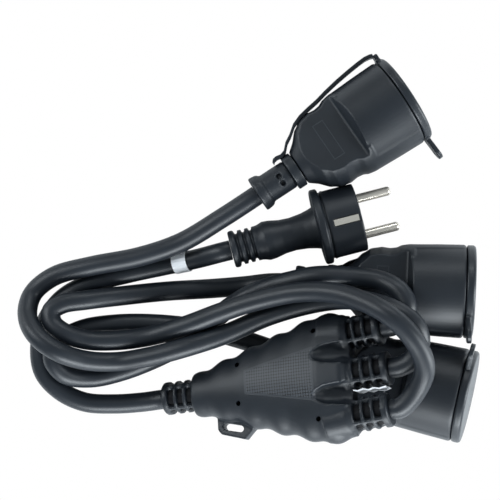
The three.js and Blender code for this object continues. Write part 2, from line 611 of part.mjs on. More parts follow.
// Cords: each route is chosen by hand, and the tube has one ring at each of its points
const routes = {
  plug_cord: [
    [-44.3, -79, 8.3], [-48.9, -79.8, 6.5], [-57, -81, 5.5], [-72, -82, 5.3], [-88, -81, 5.3],
    [-101, -75, 5.3], [-110, -65, 5.3], [-112, -52, 5.3], [-109, -39, 5.3], [-101, -27, 5.3],
    [-87, -18.5, 5.3], [-65, -12.5, 5.3], [-44, -8, 6.5], [-28, -4.6, 12], [-14.9, -1.2, 20.1],
    [-10, 0, 20.1],
  ],
  cord_a: [
    [70.5, -59, 53.3], [75.1, -58.1, 55.1], [81.3, -54, 57.5], [84.3, -45.5, 60], [81.5, -37, 61.7],
    [73, -30.6, 60.5], [61, -26.3, 52.5], [49, -25, 43.5], [32, -27.5, 34], [10, -34, 27.5],
    [-12, -43.5, 25], [-32, -50, 27], [-52, -55.5, 23], [-70, -58.5, 19], [-86, -57.5, 22.5],
    [-100, -52.5, 27], [-111, -44.5, 25], [-117, -34, 16], [-115, -23, 9.5], [-104, -14, 9.5],
    [-84, -8.5, 13], [-58, -3.5, 16], [-36, 4, 17.5], [-14, 17, 22], [-0.5, 25.7, 24.3],
    [3.7, 28.5, 24.3],
  ],
  cord_b: [
    [70.5, -79.2, 57.9], [75, -78.1, 59.7], [82.5, -69, 63.5], [85.7, -59, 68], [83.5, -50, 71],
    [76, -39, 73.5], [66, -30.5, 71.5], [55, -25, 62.5], [42, -21.5, 52.5], [24, -21.5, 43.5],
    [0, -27, 34], [-17, -33, 28.5], [-34, -39.5, 24.5], [-52, -45, 17.5], [-70, -47.5, 16.5],
    [-86, -47, 18.3], [-97.5, -43, 20.7], [-103.5, -38, 19.5], [-104, -32, 18], [-98.5, -28.3, 17],
    [-86, -26.3, 15], [-70, -24.5, 9.3], [-45, -22, 5.4], [-20, -20.5, 5.4], [-2, -19, 5.5],
    [10, -17.5, 10], [18.7, -17.3, 16.2], [23.6, -17.6, 16.7],
  ],
  cord_c: [
    [66.7, -39.2, 47.1], [71.3, -38.2, 48.8], [77, -34.8, 50.5], [78.8, -28, 51], [75, -20.5, 49],
    [66, -15.5, 44], [50, -13.5, 40], [34, -13.3, 36.5], [21, -16, 32], [9, -19.5, 25],
    [-2, -24.5, 18.5], [-12, -31, 16.4], [-22, -39.5, 16.9], [-34, -48.5, 14], [-48, -56.5, 7.3], [-68, -64.5, 5.4],
    [-85, -68, 6.7], [-98, -65.5, 12], [-104, -57, 14.3], [-101, -49, 11.5], [-90, -42.5, 6.3],
    [-72, -39.5, 5.3], [-48, -39.5, 5.3], [-24, -42.5, 5.3], [0, -49, 5.3], [12, -53, 6.7],
    [20, -55.8, 8.2], [24.7, -56.8, 9.3],
  ],
};

class Route extends THREE.CatmullRomCurve3 {
  getUtoTmapping(u) {
    return u;
  }
}

function cordTube(points) {
  const section = new THREE.Shape();
  for (let i = 0; i < cord.sides; i++) {
    const angle = (2 * Math.PI * (i + 0.5)) / cord.sides;
    const place = [cord.radius * Math.cos(angle), cord.radius * Math.sin(angle)];
    if (i === 0) section.moveTo(...place);
    else section.lineTo(...place);
  }
  const path = new Route(points.map((p) => new THREE.Vector3(...p)));
  const options = { steps: points.length - 1, extrudePath: path, bevelEnabled: false };
  return solid(new THREE.ExtrudeGeometry(section, options));
}

// A blank label wrapped round the straight stretch of the plug's cord between two of its points
function cordLabel(from, to, length) {
  const [a, b] = [from, to].map((p) => new THREE.Vector3(...p));
  const along = b.clone().sub(a).normalize();
  const middle = a.add(b).multiplyScalar(0.5);
  const sleeve = new THREE.Group();
  sleeve.position.copy(middle);
  sleeve.quaternion.setFromUnitVectors(X, along);
  const inner = cord.radius + gap;
  sleeve.add(mesh('plug_label', tube(-length / 2, length / 2, inner, inner + 0.3, 20), paper));
  return sleeve;
}

const splitter = new THREE.Group();
const layout = new THREE.Group();
layout.position.set(...layoutShift, 0);
splitter.add(layout);
layout.add(splitterHub(places.hub));
layout.add(twoPinPlug(places.plug));
for (const letter of ['a', 'b', 'c']) layout.add(socketOutlet(letter, places[`socket_${letter}`]));
for (const [name, points] of Object.entries(routes)) layout.add(mesh(name, cordTube(points), sheath));
const labelAt = routes.plug_cord.length - 4;
layout.add(cordLabel(routes.plug_cord[labelAt], routes.plug_cord[labelAt + 1], 8));

export default splitter;
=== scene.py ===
# Cable splitter on a white surface, seen from straight above, as Blender pieces over the solid model
import json
import math

import bpy
from mathutils import Matrix, Vector


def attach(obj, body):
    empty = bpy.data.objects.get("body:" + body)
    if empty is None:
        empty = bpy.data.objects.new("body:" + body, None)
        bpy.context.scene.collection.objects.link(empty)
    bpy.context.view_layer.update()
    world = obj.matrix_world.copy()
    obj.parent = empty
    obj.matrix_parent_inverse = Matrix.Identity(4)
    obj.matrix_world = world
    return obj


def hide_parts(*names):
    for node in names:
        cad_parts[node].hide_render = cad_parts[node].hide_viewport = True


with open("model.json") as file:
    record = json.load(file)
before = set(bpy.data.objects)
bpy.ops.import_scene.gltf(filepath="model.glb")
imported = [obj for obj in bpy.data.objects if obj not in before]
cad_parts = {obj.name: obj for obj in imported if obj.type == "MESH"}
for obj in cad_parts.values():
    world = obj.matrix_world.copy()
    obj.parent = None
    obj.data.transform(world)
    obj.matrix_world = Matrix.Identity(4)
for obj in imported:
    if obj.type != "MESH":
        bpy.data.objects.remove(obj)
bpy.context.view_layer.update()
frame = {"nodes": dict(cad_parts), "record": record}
nodes = frame["nodes"]

# Driving dimensions: lengths in mm, or in metres where the line has MM; turns in degrees
MM = 0.001
ROW_SHIFT = Vector((-36.7, -0.8, 0)) * MM
CORD_RADIUS = 5.2 * MM
CAMERA_HEIGHT = 0.8
CAMERA_LENS = 107.4
CAMERA_SENSOR = 36
SOCKET_VOXEL = 0.6 * MM
CAP_VOXEL = 0.5 * MM
PLUG_VOXEL = 0.45 * MM
HUB_VOXEL = 0.62 * MM
ROUND = 72
SOCKET_FRONT = 85.5
RECESS_RADIUS = 19.75
RECESS_FLOOR = 68
FLAT_HALF = 13.2
SHOULDER = 56
PANEL_AT = 43
PANEL_ALONG = 3.2
PANEL_ACROSS = 10.8
PANEL_LINE = 0.5
NECK_WINDOW_TURNS = (0, 32, 180, 212)
STRAP_WIDE = 9
STRAP_THICK = 2
HINGE = (87.9, 26.6)
CAP_REAR = 85.8
CAP_FRONT = 90.4
TAB_THICK = 2.5
TAB_HALF = 4.7
TAB_END = 31.8
TAB_LEAN = 4
PLUG_FACE = 67.6
PIN_SIDE = 9.5
RIB_PITCH = 3.8
GRIP_RADIUS = 8.7
GRIP_CORE = 5.6
GRIP_PITCH = 5.4
GRIP_SLOT = 3.6
RIDGE_TURN = 38
# Radius of the grips' near-black linings, which are painted shade in their windows
SHADE_LINING_RADIUS = 6.6
HUB_FROM = 17.4
HUB_TO = 105
HUB_WIDE_AT = 90
HUB_STEPS = 58
HUB_HALF = (10.4, 23, 1.9)
HUB_TALL = (8.6, 5.4, 1.6)
HUB_SWELL = 50.6
SCALLOP_FROM = 30.5
SCALLOP_PITCH = 15.2
SCALLOP_DEPTH = 0.85
PIN_HOLE = 1.35
PIN_HOLES = ((45.5, 10), (88, 22.5))
VALLEY_SIDES = (11.15, -9.85)
MARKS_FROM = 50
MARKS_TO = 88
MARKS_SIDE = 1.5
MARKS_HALF = 6.2
MARKS_SPREAD = 0.2

# Places of the groups on the surface: cable end in mm, heading, nose up angle and roll in degrees
PLACES = {
    "hub": ((-44, -79, 8.4), 9.2, 21.3, -15.5),
    "plug": ((-8.2, 0.5, 20.1), 14.4, 0, 0),
    "socket_a": ((6, 30, 24.3), 33.2, 0, -15),
    "socket_b": ((26.4, -17.7, 17), -2.6, 6, -4),
    "socket_c": ((27.4, -57.4, 9.95), -12.3, 12.8, 0),
}
STRAP_TURN = {"a": 15, "b": -45, "c": -138}

# Hub outlets: side, turn in degrees and end
OUTLET_ROOT = 104
OUTLETS = ((21.5, 3, 121.5), (0.8, 2, 124.3), (-20.5, 4, 123))

# Cord routes, as in the solid model, in mm
ROUTES = {
    "plug_cord": [
        (-44.3, -79, 8.3), (-48.9, -79.8, 6.5), (-57, -81, 5.5), (-72, -82, 5.3), (-88, -81, 5.3),
        (-101, -75, 5.3), (-110, -65, 5.3), (-112, -52, 5.3), (-109, -39, 5.3), (-101, -27, 5.3),
        (-87, -18.5, 5.3), (-65, -12.5, 5.3), (-44, -8, 6.5), (-28, -4.6, 12), (-14.9, -1.2, 20.1),
        (-10, 0, 20.1),
    ],
    "cord_a": [
        (70.5, -59, 53.3), (75.1, -58.1, 55.1), (81.3, -54, 57.5), (84.3, -45.5, 60), (81.5, -37, 61.7),
        (73, -30.6, 60.5), (61, -26.3, 52.5), (49, -25, 43.5), (32, -27.5, 34), (10, -34, 27.5),
        (-12, -43.5, 25), (-32, -50, 27), (-52, -55.5, 23), (-70, -58.5, 19), (-86, -57.5, 22.5),
        (-100, -52.5, 27), (-111, -44.5, 25), (-117, -34, 16), (-115, -23, 9.5), (-104, -14, 9.5),
        (-84, -8.5, 13), (-58, -3.5, 16), (-36, 4, 17.5), (-14, 17, 22), (-0.5, 25.7, 24.3),
        (3.7, 28.5, 24.3),
    ],
    "cord_b": [
        (70.5, -79.2, 57.9), (75, -78.1, 59.7), (82.5, -69, 63.5), (85.7, -59, 68), (83.5, -50, 71),
        (76, -39, 73.5), (66, -30.5, 71.5), (55, -25, 62.5), (42, -21.5, 52.5), (24, -21.5, 43.5),
        (0, -27, 34), (-17, -33, 28.5), (-34, -39.5, 24.5), (-52, -45, 17.5), (-70, -47.5, 16.5),
        (-86, -47, 18.3), (-97.5, -43, 20.7), (-103.5, -38, 19.5), (-104, -32, 18), (-98.5, -28.3, 17),
        (-86, -26.3, 15), (-70, -24.5, 9.3), (-45, -22, 5.4), (-20, -20.5, 5.4), (-2, -19, 5.5),
        (10, -17.5, 10), (18.7, -17.3, 16.2), (23.6, -17.6, 16.7),
    ],
    "cord_c": [
        (66.7, -39.2, 47.1), (71.3, -38.2, 48.8), (77, -34.8, 50.5), (78.8, -28, 51), (75, -20.5, 49),
        (66, -15.5, 44), (50, -13.5, 40), (34, -13.3, 36.5), (21, -16, 32), (9, -19.5, 25),
        (-2, -24.5, 18.5), (-12, -31, 16.4), (-22, -39.5, 16.9), (-34, -48.5, 14), (-48, -56.5, 7.3),
        (-68, -64.5, 5.4), (-85, -68, 6.7), (-98, -65.5, 12), (-104, -57, 14.3), (-101, -49, 11.5),
        (-90, -42.5, 6.3), (-72, -39.5, 5.3), (-48, -39.5, 5.3), (-24, -42.5, 5.3), (0, -49, 5.3),
        (12, -53, 6.7), (20, -55.8, 8.2), (24.7, -56.8, 9.3),
    ],
}


def place_matrix(name, extra_roll=0):
    """The matrix that carries a group's own frame, in metres, to its place on the surface."""
    at, heading, nose, roll = PLACES[name]
    turn = (
        Matrix.Rotation(math.radians(heading), 4, "Z")
        @ Matrix.Rotation(math.radians(-nose), 4, "Y")
        @ Matrix.Rotation(math.radians(roll + extra_roll), 4, "X")
    )
    return Matrix.Translation(Vector(at) * MM + ROW_SHIFT) @ turn


# Camera
camera_data = bpy.data.cameras.new("camera")
camera_data.lens = CAMERA_LENS
camera_data.sensor_width = CAMERA_SENSOR
camera = bpy.data.objects.new("camera", camera_data)
camera.location = (ROW_SHIFT.x, ROW_SHIFT.y, CAMERA_HEIGHT)
bpy.context.scene.collection.objects.link(camera)
bpy.context.scene.camera = camera


# Materials: an expression on sockets adds its Math nodes
class Value:
    def __init__(self, finish, socket):
        self.finish = finish
        self.socket = socket

    def maths(self, operation, first, second):
        made = self.finish.node("ShaderNodeMath", {"operation": operation}, {0: first, 1: second})
        return Value(self.finish, made.outputs[0])

    def __add__(self, other):
        return self.maths("ADD", self, other)

    def __radd__(self, other):
        return self.maths("ADD", other, self)

    def __sub__(self, other):
        return self.maths("SUBTRACT", self, other)

    def __rsub__(self, other):
        return self.maths("SUBTRACT", other, self)

    def __mul__(self, other):
        return self.maths("MULTIPLY", self, other)

    def __rmul__(self, other):
        return self.maths("MULTIPLY", other, self)

    def __gt__(self, other):
        return self.maths("GREATER_THAN", self, other)

    def __lt__(self, other):
        return self.maths("LESS_THAN", self, other)

    def one(self, operation):
        made = self.finish.node("ShaderNodeMath", {"operation": operation}, {0: self})
        return Value(self.finish, made.outputs[0])


class Finish:
    def __init__(self, name):
        self.material = bpy.data.materials.new(name)
        self.material.use_nodes = True
        self.tree = self.material.node_tree
        self.surface = self.tree.nodes["Principled BSDF"]
        self.output = self.tree.nodes["Material Output"]

    def node(self, kind, settings=None, inputs=None):
        made = self.tree.nodes.new(kind)
        for key, value in (settings or {}).items():
            setattr(made, key, value)
        for key, value in (inputs or {}).items():
            self.feed(made.inputs[key], value)
        return made

    def feed(self, socket, value):
        if isinstance(value, Value):
            self.tree.links.new(value.socket, socket)
        elif isinstance(value, bpy.types.NodeSocket):
            self.tree.links.new(value, socket)
        else:
            socket.default_value = value

    def value(self, socket):
        return Value(self, socket)

    def position(self):
        return self.node("ShaderNodeTexCoord").outputs["Object"]

    def noise(self, scale, detail=2.0, rough=0.5, vector=None):
        inputs = {"Vector": vector or self.position(), "Scale": scale, "Detail": detail, "Roughness": rough}
        return self.value(self.node("ShaderNodeTexNoise", {}, inputs).outputs[0])

    def blend(self, factor, first, second):
        mixed = self.node("ShaderNodeMix", {"data_type": "RGBA"}, {0: factor, 6: first, 7: second})
        return mixed.outputs[2]

    def bump(self, height, strength, distance):
        inputs = {"Height": height, "Strength": strength, "Distance": distance}
        self.feed(self.surface.inputs["Normal"], self.node("ShaderNodeBump", {}, inputs).outputs[0])


def rubber_finish(name, dark, light, rough, grain=2600, swing=0.07, strength=0.18):
    """Moulded rubber: slow clouding in colour and gloss, with a fine grain over it."""
    finish = Finish(name)
    finish.surface.inputs["Specular IOR Level"].default_value = 0.4
    cloud = finish.noise(60, 3)
    fine = finish.noise(grain, 2)
    finish.feed(finish.surface.inputs["Base Color"], finish.blend(cloud * 0.8 + fine * 0.2, dark, light))
    finish.feed(finish.surface.inputs["Roughness"], rough - swing / 2 + cloud * swing)
    finish.bump(fine, strength, 0.00015)
    return finish


def plastic_and_painted_shade_finish():
    """Dark plastic for the plastic parts and for the linings down in the grip windows, where its near-black
    colour is painted shade; it has little sheen of its own.
    """
    finish = rubber_finish("plastic", (0.003, 0.003, 0.004, 1), (0.006, 0.006, 0.007, 1), 0.6, 3200, 0.1, 0.1)
    finish.surface.inputs["Specular IOR Level"].default_value = 0.12
    return finish


def metal_finish(name, colour, worn, rough):
    """Plated metal with faint lengthwise handling marks."""
    finish = Finish(name)
    stretched = finish.node("ShaderNodeMapping", {}, {"Vector": finish.position(), "Scale": (25, 160, 160)})
    marks = finish.noise(1, 3, 0.5, stretched.outputs[0])
    finish.feed(finish.surface.inputs["Base Color"], finish.blend(marks, colour, worn))
    finish.feed(finish.surface.inputs["Roughness"], rough + marks * 0.06)
    finish.surface.inputs["Metallic"].default_value = 0.75
    return finish


def own_axes(finish, group):
    """Station, side and height in a group's own frame, from places on the surface."""
    matrix = place_matrix(group).inverted()
    inputs = {"Vector": finish.position(), "Location": matrix.translation, "Rotation": matrix.to_euler()}
    local = finish.node("ShaderNodeMapping", {}, inputs).outputs[0]
    parts = finish.node("ShaderNodeSeparateXYZ", {}, {0: local})
    return [finish.value(parts.outputs[i]) for i in range(3)]


def socket_finish(letter):
    """A socket's rubber, with the bare framed field across each of its finger panels; the frame line is
    painted lighter, a painted highlight.
    """
    finish = rubber_finish(f"socket_{letter}_rubber", DARK, LIGHT, 0.45)
    x, y, z = own_axes(finish, f"socket_{letter}")
    along = (x - PANEL_AT * MM).one("ABSOLUTE")
    side = y.one("ABSOLUTE")
    panel = z.one("ABSOLUTE") < (FLAT_HALF + 0.5) * MM
    outer = (along < PANEL_ALONG * MM) * (side < PANEL_ACROSS * MM)
    inner = (along < (PANEL_ALONG - PANEL_LINE) * MM) * (side < (PANEL_ACROSS - PANEL_LINE) * MM)
    frame_line = (outer - inner) * panel
    grain = finish.noise(2600)
    finish.bump(frame_line + grain * 0.2, 0.8, 0.0003)
    rubber = finish.blend(finish.noise(60, 3), DARK, LIGHT)
    # The frame line is blended towards a lighter colour: a painted highlight on the raised line.
    frame_painted_highlight = finish.blend(frame_line * 0.6, rubber, FRAME_LIT)
    finish.feed(finish.surface.inputs["Base Color"], frame_painted_highlight)
    return finish


def hub_finish():
    """The hub's rubber, with the small raised marks of the panel on its upper face; the marks and their rim
    are painted lighter and the field between them darker, as painted highlight and painted shade.
    """
    finish = rubber_finish("hub_rubber", DARK, LIGHT, 0.42)
    x, y, z = own_axes(finish, "hub")
    side = (y - MARKS_SIDE * MM).one("ABSOLUTE")
    edge = MARKS_HALF * MM + (x - MARKS_FROM * MM) * MARKS_SPREAD
    above = z > 4 * MM
    field = (x > MARKS_FROM * MM) * (x < MARKS_TO * MM) * (side < edge) * above
    inner = (x > (MARKS_FROM + 1) * MM) * (x < (MARKS_TO - 1) * MM) * (side < edge - MM) * above
    rim = field - inner
    marks = (x * 2300).one("SINE") * (y * 2000).one("SINE")
    raised = ((marks > 0.22) + (marks < -0.22)) * inner
    grain = finish.noise(2600)
    finish.bump(raised + rim * 1.4 + grain * 0.15, 1.0, 0.0004)
    rubber = finish.blend(finish.noise(60, 3), DARK, LIGHT)
    # Painted highlight on the raised marks and their rim, painted shade in the field between them.
    marks_painted_light = finish.blend(raised + rim * 0.7, MARK_SHADE, MARK_LIT)
    finish.feed(finish.surface.inputs["Base Color"], finish.blend(field, rubber, marks_painted_light))
    return finish


DARK = (0.0055, 0.0075, 0.0105, 1)
LIGHT = (0.0105, 0.014, 0.019, 1)
# Lighter colour of the sockets' frame line: a painted highlight.
FRAME_LIT = (0.03, 0.035, 0.042, 1)
# Darker and lighter colours of the hub's panel marks: painted shade and painted highlight.
MARK_SHADE = (0.003, 0.0035, 0.004, 1)
MARK_LIT = (0.036, 0.041, 0.049, 1)
FINISHES = {
    "rubber": rubber_finish("rubber", DARK, LIGHT, 0.45),
    "cap_rubber": rubber_finish("cap_rubber", (0.007, 0.009, 0.012, 1), (0.013, 0.017, 0.022, 1), 0.4),
    "sheath": rubber_finish("sheath", DARK, (0.012, 0.016, 0.022, 1), 0.42, 1900, 0.1, 0.25),
    "plastic": plastic_and_painted_shade_finish(),
    "paper": rubber_finish("paper", (0.85, 0.87, 0.9, 1), (0.95, 0.96, 0.98, 1), 0.5, 500, 0.1, 0.8),
    "nickel": metal_finish("nickel", (0.85, 0.79, 0.7, 1), (0.76, 0.7, 0.61, 1), 0.24),
    "brass": metal_finish("brass", (0.72, 0.5, 0.2, 1), (0.55, 0.36, 0.13, 1), 0.3),
}
HUB_FINISH = hub_finish()


# Modelling helpers
def nothing_selected():
    """Clears the selection, so that a new piece is made by itself."""
    bpy.ops.object.select_all(action="DESELECT")


def only(piece):
    """Makes a piece the only selected one and the active one."""
    nothing_selected()
    piece.select_set(True)
    bpy.context.view_layer.objects.active = piece


def settle(piece, matrix):
    """Puts a finished piece in its place, with its object left at the origin."""
    piece.matrix_world = matrix
    only(piece)
    bpy.ops.object.transform_apply(location=True, rotation=True, scale=True)


def drawn(name, profile, count=ROUND):
    """A round piece about X, its profile in mm: a ring is drawn out and resized station by station."""
    nothing_selected()
    station, radius = profile[0]
    bpy.ops.mesh.primitive_circle_add(
        vertices=count, radius=radius * MM, fill_type="NGON", location=(station * MM, 0, 0),
        rotation=(0, math.pi / 2, 0),
    )
    piece = bpy.context.active_object
    piece.name = name
    bpy.ops.object.transform_apply(location=True, rotation=True, scale=True)
    bpy.ops.object.mode_set(mode="EDIT")
    bpy.ops.mesh.select_all(action="SELECT")
    for next_station, next_radius in profile[1:]:
        move = {"value": ((next_station - station) * MM, 0, 0)}
        bpy.ops.mesh.extrude_region_move(TRANSFORM_OT_translate=move)
        scale = next_radius / radius
        bpy.ops.transform.resize(value=(1, scale, scale), center_override=(next_station * MM, 0, 0))
        station, radius = next_station, next_radius
    bpy.ops.mesh.select_all(action="SELECT")
    bpy.ops.mesh.normals_make_consistent(inside=False)
    bpy.ops.object.mode_set(mode="OBJECT")
    return piece


def brick(name, low, high, edge=0.0):
    """A block between two corners, in mm, with its edges rounded."""
    nothing_selected()
    middle = [(a + b) / 2 * MM for a, b in zip(low, high)]
    bpy.ops.mesh.primitive_cube_add(size=1, location=middle, scale=[(b - a) * MM for a, b in zip(low, high)])
    piece = bpy.context.active_object
    piece.name = name
    bpy.ops.object.transform_apply(location=True, rotation=True, scale=True)
    if edge:
        bpy.ops.object.mode_set(mode="EDIT")
        bpy.ops.mesh.select_all(action="SELECT")
        bpy.ops.mesh.bevel(offset=edge * MM, segments=2, affect="EDGES")
        bpy.ops.object.mode_set(mode="OBJECT")
    return piece


def prism(name, outline, half):
    """A plate with its outline in mm across X and Y, filled and drawn out along Z."""
    nothing_selected()
    bpy.ops.mesh.primitive_circle_add(vertices=len(outline), radius=MM, fill_type="NGON")
    piece = bpy.context.active_object
    piece.name = name
    for vertex, (x, y) in zip(piece.data.vertices, outline):
        vertex.co = (x * MM, y * MM, -half * MM)
    bpy.ops.object.mode_set(mode="EDIT")
    bpy.ops.mesh.select_all(action="SELECT")
    bpy.ops.mesh.extrude_region_move(TRANSFORM_OT_translate={"value": (0, 0, 2 * half * MM)})
    bpy.ops.mesh.select_all(action="SELECT")
    bpy.ops.mesh.normals_make_consistent(inside=False)
    bpy.ops.object.mode_set(mode="OBJECT")
    return piece


def shifted(piece, matrix):
    """Moves a piece by a matrix while it is still being shaped."""
    piece.matrix_world = matrix @ piece.matrix_world
    only(piece)
    bpy.ops.object.transform_apply(location=True, rotation=True, scale=True)
    return piece


def combined(piece, other, operation):
    """Cuts or joins one piece with another, which is used up."""
    only(piece)
    modifier = piece.modifiers.new("shape", "BOOLEAN")
    modifier.operation = operation
    modifier.solver = "EXACT"
    modifier.object = other
    bpy.ops.object.modifier_apply(modifier=modifier.name)
    bpy.data.objects.remove(other)


def softened(piece, voxel):
    """Runs the joined forms together as one moulding with soft edges."""
    only(piece)
    remesh = piece.modifiers.new("moulding", "REMESH")
    remesh.mode = "VOXEL"
    remesh.voxel_size = voxel
    bpy.ops.object.modifier_apply(modifier=remesh.name)
    smooth = piece.modifiers.new("soft", "SMOOTH")
    smooth.factor = 0.5
    smooth.iterations = 2
    bpy.ops.object.modifier_apply(modifier=smooth.name)
    bpy.ops.object.shade_smooth()


def joined(pieces):
    """Puts pieces together as one object, without cutting them."""
    only(pieces[0])
    for piece in pieces:
        piece.select_set(True)
    bpy.ops.object.join()
    return pieces[0]


def finished(piece, body, slot, finish, *replaced):
    """Gives a piece its finish, the body that it rides on and the nodes that it stands for; its slot argument
    is not used.
    """
    piece.data.materials.clear()
    piece.data.materials.append(finish.material)
    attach(piece, body)
    if replaced:
        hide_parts(*replaced)


def smooth_by_angle(piece, degrees=32):
    only(piece)
    bpy.ops.object.shade_smooth_by_angle(angle=math.radians(degrees))


# Cords
def smooth_line(points, parts=8):
    """Points along the centripetal curve through the route, as the solid model's tubes follow it."""
    line = [Vector(p) * MM + ROW_SHIFT for p in points]
    reach = [2 * line[0] - line[1]] + line + [2 * line[-1] - line[-2]]
    result = []
    for i in range(1, len(reach) - 2):
        p = reach[i - 1:i + 3]
        t = [0.0]
        for a, b in zip(p, p[1:]):
            t.append(t[-1] + (b - a).length ** 0.5)
        for k in range(parts):
            s = t[1] + (t[2] - t[1]) * k / parts
            a = [p[j].lerp(p[j + 1], (s - t[j]) / (t[j + 1] - t[j])) for j in range(3)]
            b = [a[j].lerp(a[j + 1], (s - t[j]) / (t[j + 2] - t[j])) for j in range(2)]
            result.append(b[0].lerp(b[1], (s - t[1]) / (t[2] - t[1])))
    return result + [line[-1]]


def cord_piece(name, points):
    data = bpy.data.curves.new(name + "_sheath", "CURVE")
    data.dimensions = "3D"
    data.bevel_depth = CORD_RADIUS
    data.bevel_resolution = 7
    data.use_fill_caps = True
    line = smooth_line(points)
    spline = data.splines.new("POLY")
    spline.points.add(len(line) - 1)
    for point, place in zip(spline.points, line):
        point.co = (*place, 1)
    spline.use_smooth = True
    piece = bpy.data.objects.new(name + "_sheath", data)
    bpy.context.scene.collection.objects.link(piece)
    finished(piece, "splitter", "sheath", FINISHES["sheath"], name)
    length = sum((b - a).length for a, b in zip(line, line[1:]))
    return piece, line[0], length


# Caps' straps: the same line as in the solid model, over the neck, the ring, the rail and the hinge
STRAP_LINE = [
    (13.3, 9.1), (14.3, 10.2), (16.2, 10.5), (18.8, 10), (21.5, 10.8), (24.6, 14), (28.4, 16.2),
    (33, 19.7), (37.9, 21.6), (43.5, 22.7), (49.5, 23.6), (56, 25.1), (63.7, 26.5), (71, 27.5),
    (77.5, 28.2), (82.5, 28.5), (85.4, 28.1), (86.9, 27.6),
]


def strap_piece(letter):
    """The strap: one end drawn along its line, face by face, then given rounded edges."""
    nothing_selected()
    start = Vector((STRAP_LINE[0][0], STRAP_LINE[0][1], 0)) * MM
    bpy.ops.mesh.primitive_plane_add(size=1, location=start, rotation=(0, math.pi / 2, 0))
    piece = bpy.context.active_object
    piece.scale = (STRAP_WIDE * MM, STRAP_THICK * MM, 1)
    bpy.ops.object.transform_apply(location=True, rotation=True, scale=True)
    bpy.ops.object.mode_set(mode="EDIT")
    bpy.ops.mesh.select_all(action="SELECT")
    for (u, r), (v, q) in zip(STRAP_LINE, STRAP_LINE[1:]):
        move = {"value": ((v - u) * MM, (q - r) * MM, 0)}
        bpy.ops.mesh.extrude_region_move(TRANSFORM_OT_translate=move)
    bpy.ops.mesh.select_all(action="SELECT")
    bpy.ops.mesh.normals_make_consistent(inside=False)
    bpy.ops.object.mode_set(mode="OBJECT")
    ring = drawn("ring", [(17.6, 7.4), (17.6, 9.2), (18, 9.6), (22.2, 9.6), (22.6, 9.2), (22.6, 7.4)])
    piece = joined([piece, ring])
    piece.name = f"socket_{letter}_strap_band"
    bevel = piece.modifiers.new("edges", "BEVEL")
    bevel.width = 0.4 * MM
    bevel.segments = 2
    bevel.limit_method = "ANGLE"
    bpy.ops.object.modifier_apply(modifier=bevel.name)
    smooth_by_angle(piece, 40)
    settle(piece, place_matrix(f"socket_{letter}", STRAP_TURN[letter]))
    finished(piece, "splitter", "cap_rubber", FINISHES["cap_rubber"], f"socket_{letter}_strap")


# Socket bodies
FLARE = [
    (24, 10), (27.5, 12.8), (31.5, 17.3), (36, 19.8), (42, 20.9), (46, 20.4), (49.5, 20.9), (52, 22.2),
    (56, 22.9), (62, 23.1), (71, 23.5),
]


def socket_body(letter):
    """A socket's moulding: a turned grip with side rails, two flat finger panels and windows in its neck."""
    outer = [
        (-2.5, 8.6), (-2.4, 9.3), (-1.6, 9.6), (-0.8, 9.5), (1.6, 9.2), (2.6, 8.7), (3.3, 7.75),
        (17, 7.75), (17.3, 6.9), (22.9, 6.9), (23.2, 9.4), *FLARE,
        (84.3, 23.95), (85.1, 23.8), (SOCKET_FRONT, 23.3),
        (SOCKET_FRONT, RECESS_RADIUS), (RECESS_FLOOR, RECESS_RADIUS),
    ]
    piece = drawn("body", outer)
    rail_line = [(33, 18), *[(u, r + 0.45) for u, r in FLARE if u > 35], (84.3, 24.3), (85.3, 23.6)]
    rail = drawn("rail", rail_line)
    band = brick("band", (33, -27, -17), (59, 27, 17))
    narrow = brick("narrow", (58, -27, -10.5), (85.6, 27, 10.5))
    combined(band, narrow, "UNION")
    combined(rail, band, "INTERSECT")
    combined(rail, drawn("bore", [(60, RECESS_RADIUS), (90, RECESS_RADIUS)]), "DIFFERENCE")
    combined(piece, rail, "UNION")
    for side in (1, -1):
        cutter = brick("flat", (23.5, -28, FLAT_HALF), (SHOULDER, 28, 28))
        bpy.ops.object.mode_set(mode="EDIT")
        bpy.ops.mesh.select_all(action="DESELECT")
        bpy.ops.object.mode_set(mode="OBJECT")
        for vertex in cutter.data.vertices:
            vertex.select = vertex.co.x > 40 * MM and vertex.co.z > 20 * MM
        bpy.ops.object.mode_set(mode="EDIT")
        bpy.ops.transform.translate(value=(4 * MM, 0, 0))
        bpy.ops.object.mode_set(mode="OBJECT")
        if side < 0:
            shifted(cutter, Matrix.Rotation(math.pi, 4, "X"))
        combined(piece, cutter, "DIFFERENCE")
    for angle in NECK_WINDOW_TURNS:
        window = brick("window", (10.6, -1.7, 5.4), (12.9, 1.7, 9))
        combined(piece, shifted(window, Matrix.Rotation(math.radians(angle), 4, "X")), "DIFFERENCE")
    softened(piece, SOCKET_VOXEL)
    piece.name = f"socket_{letter}_moulding"
    settle(piece, place_matrix(f"socket_{letter}"))
    finished(piece, "splitter", "rubber", socket_finish(letter), f"socket_{letter}_body")


